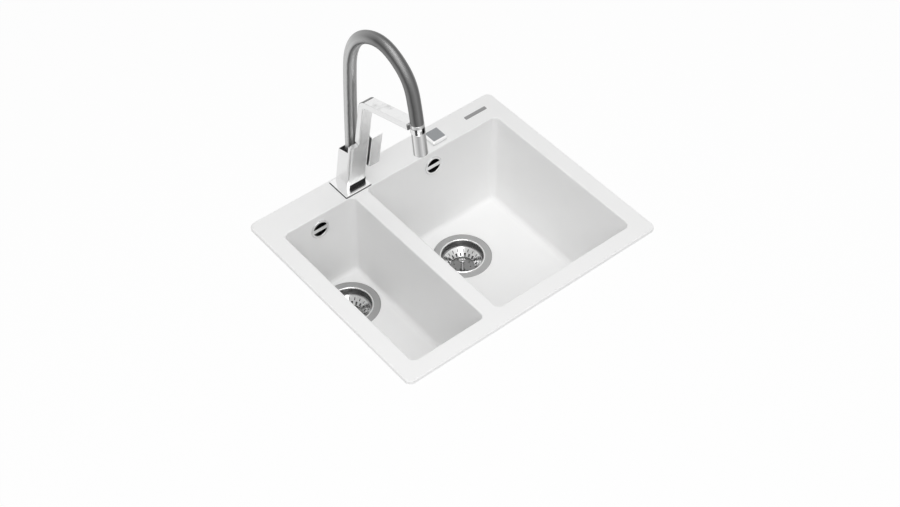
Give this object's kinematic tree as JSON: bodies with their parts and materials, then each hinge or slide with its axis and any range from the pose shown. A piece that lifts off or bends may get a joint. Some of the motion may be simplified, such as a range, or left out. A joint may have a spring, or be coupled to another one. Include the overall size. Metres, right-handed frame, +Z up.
{
  "type": "double bowl kitchen sink",
  "caption": "White composite double bowl kitchen sink with strainer wastes, overflows, a pop-up control and a leaning tap whose arched metal hose feeds a docked spray head.",
  "frame": {"origin": "middle of the worktop cut-out, on the worktop's top surface", "axes": "+Z up, +X to the right seen from the front, +Y towards the rear ledge that carries the tap"},
  "size_m": [0.56, 0.465, 0.7094],
  "materials": {
    "white_composite": "fine matt white stone composite",
    "chrome": "polished",
    "brushed_steel": "brushed",
    "metal_hose": "fine brushed wound metal",
    "zinc_steel": "zinc plated",
    "brass": "machined",
    "black_rubber": "matt",
    "black_plastic": "moulded",
    "white_plastic": "moulded",
    "grey_plastic": "moulded",
    "knob_grey": "satin",
    "ceramic": "ground"
  },
  "bodies": {
    "sink": {"basin": "white_composite", "rim_seal": "black_rubber", "fixing_clips": "zinc_steel", "clip_screws": "zinc_steel", "clip_inserts": "brass", "corner_plate": "brushed_steel", "overflow_face_small": "chrome", "overflow_face_large": "chrome", "overflow_housing_small": "black_plastic", "overflow_housing_large": "black_plastic", "overflow_hose_small": "white_plastic", "overflow_hose_large": "white_plastic", "overflow_seals": "black_rubber", "waste_flange_small": "brushed_steel", "waste_flange_large": "brushed_steel", "waste_body_small": "white_plastic", "waste_body_large": "white_plastic", "flange_seals": "black_rubber", "waste_washers": "black_rubber", "waste_nuts": "white_plastic", "cable_box": "grey_plastic", "popup_cable": "black_plastic", "knob_bushing": "chrome", "knob_washer": "black_rubber", "knob_nut": "brass", "knob_cable_box": "grey_plastic", "tap_base_plate": "chrome", "tap_base_gasket": "black_rubber", "tap_body": "chrome", "tap_foot_insert": "black_plastic", "tap_waterway": "black_plastic", "cartridge": "ceramic", "cartridge_nut": "chrome", "tap_arm": "chrome", "arm_screws": "zinc_steel", "dock_clip": "black_plastic", "spray_hose": "metal_hose", "hose_socket": "black_plastic", "tap_shank": "brass", "tap_washer": "black_rubber", "tap_clamp_plate": "zinc_steel", "tap_nut": "brass"},
    "lever_hub": {"lever_hub": "black_plastic", "lever_pin": "zinc_steel"},
    "lever": {"lever": "chrome", "lever_screw": "zinc_steel"},
    "spray_carrier": {"spray_spigot": "chrome", "hose_end_nut": "chrome"},
    "spray_head": {"spray_shell": "chrome", "spray_face": "black_plastic"},
    "knob": {"knob": "chrome", "knob_cap": "knob_grey", "knob_shaft": "brass"},
    "popup_basket": {"basket_large": "brushed_steel", "basket_seal_large": "black_rubber", "lift_pin": "grey_plastic"},
    "rocker": {"popup_rocker": "grey_plastic"},
    "loose_basket": {"basket_small": "brushed_steel", "basket_seal_small": "black_rubber"}
  },
  "joints": [
    {"name": "lever_temperature", "type": "hinge", "parent": "sink", "child": "lever_hub", "pos_m": [-0.07175, 0.19828, 0.05526], "axis": [1, 0, 0], "range_deg": [-45, 45]},
    {"name": "lever_flow", "type": "hinge", "parent": "lever_hub", "child": "lever", "pos_m": [-0.055, 0.19828, 0.05526], "axis": [0, 0.9833, 0.1822], "range_deg": [0, 20]},
    {"name": "spray_release", "type": "slide", "parent": "sink", "child": "spray_carrier", "axis": [0, -0.9924, 0.1231], "range_m": [0, 0.06], "deforming": ["spray_hose"]},
    {"name": "spray_turn", "type": "hinge", "parent": "spray_carrier", "child": "spray_head", "pos_m": [-0.0626, 0.0108, 0.2725], "axis": [0, 0.1231, 0.9924], "range_deg": [-90, 90]},
    {"name": "knob_turn", "type": "hinge", "parent": "sink", "child": "knob", "pos_m": [0.1201, 0.1974, 0.017], "axis": [0, 0, 1], "range_deg": [-90, 0]},
    {"name": "popup_lift", "type": "slide", "parent": "sink", "child": "popup_basket", "axis": [0, 0, 1], "range_m": [0, 0.008]},
    {"name": "rocker_turn", "type": "hinge", "parent": "sink", "child": "rocker", "pos_m": [0.08135, 0.05557, -0.2553], "axis": [0.9959, -0.091, 0], "range_deg": [0, 25]},
    {"name": "basket_lift_out", "type": "slide", "parent": "sink", "child": "loose_basket", "axis": [0, 0, 1], "range_m": [0, 0.08]}
  ],
  "couplings": [
    {"joint": "popup_lift", "follows": "knob_turn", "m_per_rad": -0.005093},
    {"joint": "rocker_turn", "follows": "knob_turn", "ratio": -0.27778}
  ]
}
